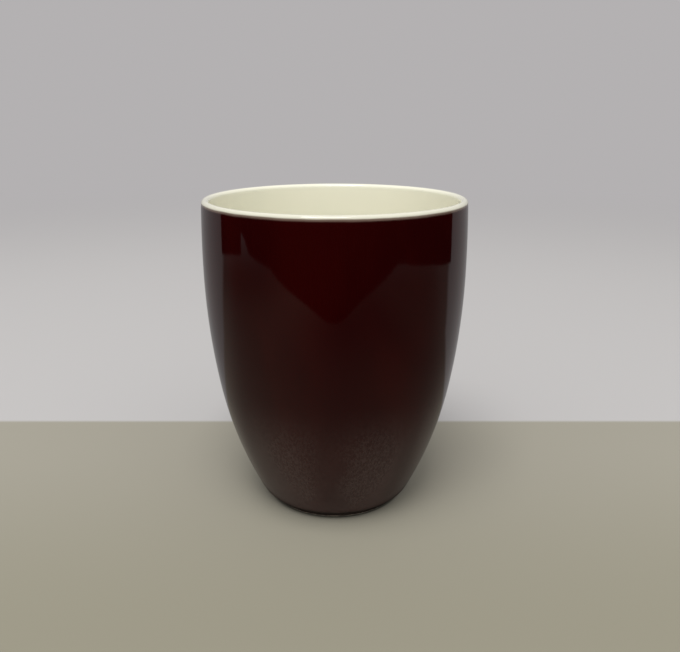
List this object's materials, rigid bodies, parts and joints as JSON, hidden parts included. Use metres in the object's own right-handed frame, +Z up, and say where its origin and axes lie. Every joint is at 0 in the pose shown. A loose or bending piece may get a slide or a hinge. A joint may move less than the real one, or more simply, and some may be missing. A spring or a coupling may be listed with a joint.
{
  "type": "handleless ceramic cup",
  "caption": "Tall ovoid cup without handles, glossy dark red glaze outside, cream glaze inside and over the lip, on a small foot ring.",
  "frame": {"origin": "centre of the foot ring's standing face, on the plane that the cup stands on", "axes": "+Z up along the cup's axis of revolution, towards the mouth; +X and +Y are equal, with the picture taken from the -Y side"},
  "size_m": [0.0912, 0.0912, 0.11],
  "materials": {
    "bisque_clay": "fired clay, matte and slightly grainy",
    "foot_clay": "fired clay, bare and matte on the standing edge",
    "red_glaze": "dark oxblood red, high gloss",
    "cream_glaze": "warm cream white, high gloss"
  },
  "bodies": {
    "root": {"clay_body": "bisque_clay", "foot_ring": "foot_clay", "outer_glaze": "red_glaze", "lining_glaze": "cream_glaze", "underside_glaze": "red_glaze"}
  },
  "joints": []
}
